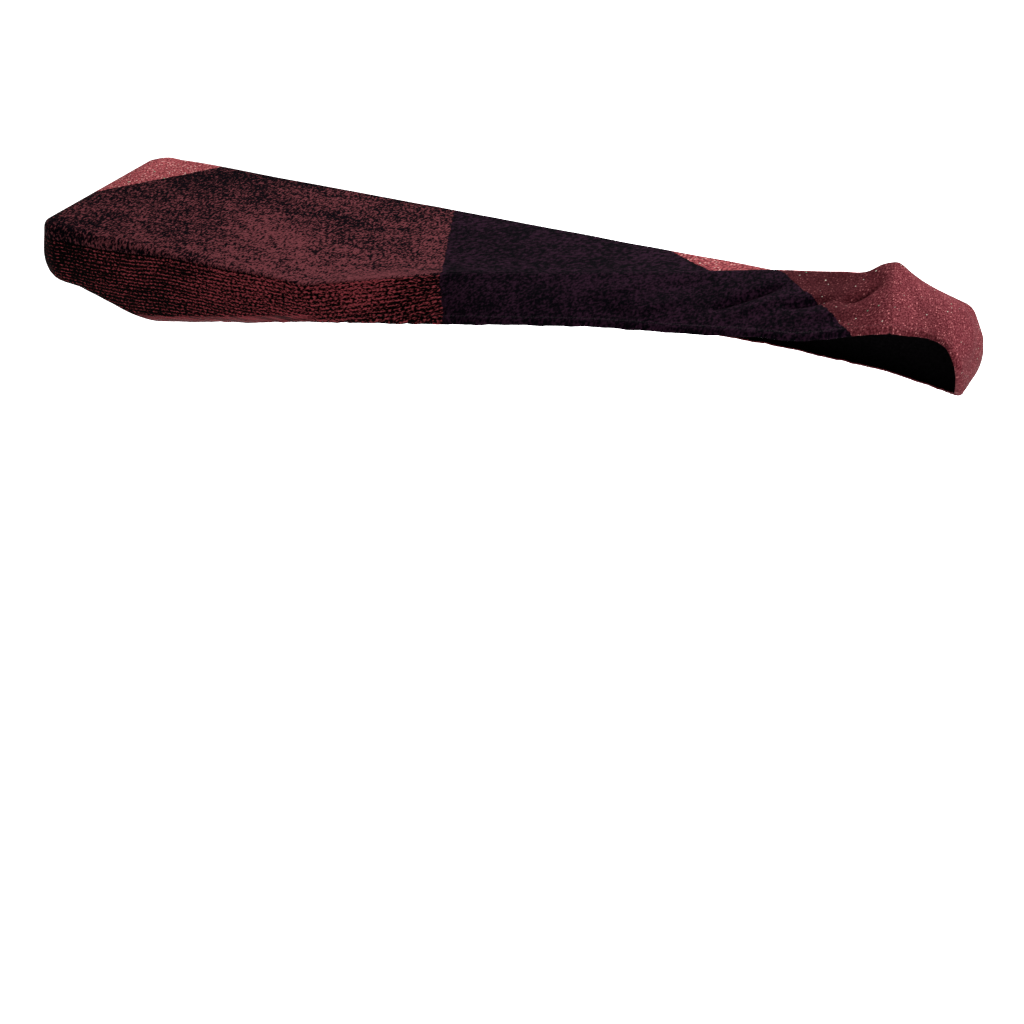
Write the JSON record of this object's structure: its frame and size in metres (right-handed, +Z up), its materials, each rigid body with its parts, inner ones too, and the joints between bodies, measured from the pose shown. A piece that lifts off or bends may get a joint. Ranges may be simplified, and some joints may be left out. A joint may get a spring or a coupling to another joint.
{
  "type": "fitted piano cover",
  "caption": "Fitted stretch dust cover for a keyboard instrument: a shallow cloth shell with a gathered-in hem, open below and drawn back at its right front.",
  "frame": {"origin": "middle of the underside of the cover's flat top, halfway along the fitted length and halfway across the fitted depth", "axes": "+X to the right along the cover, +Y to the back, +Z up"},
  "size_m": [1.3744, 0.3186, 0.1771],
  "materials": {
    "maroon_cloth": "matt printed stretch knit",
    "coral_cloth": "matt printed stretch knit"
  },
  "bodies": {
    "root": {"top_panel": "maroon_cloth", "front_panel": "maroon_cloth", "back_panel": "maroon_cloth", "left_end_panel": "maroon_cloth", "right_end_panel": "coral_cloth"}
  },
  "joints": []
}
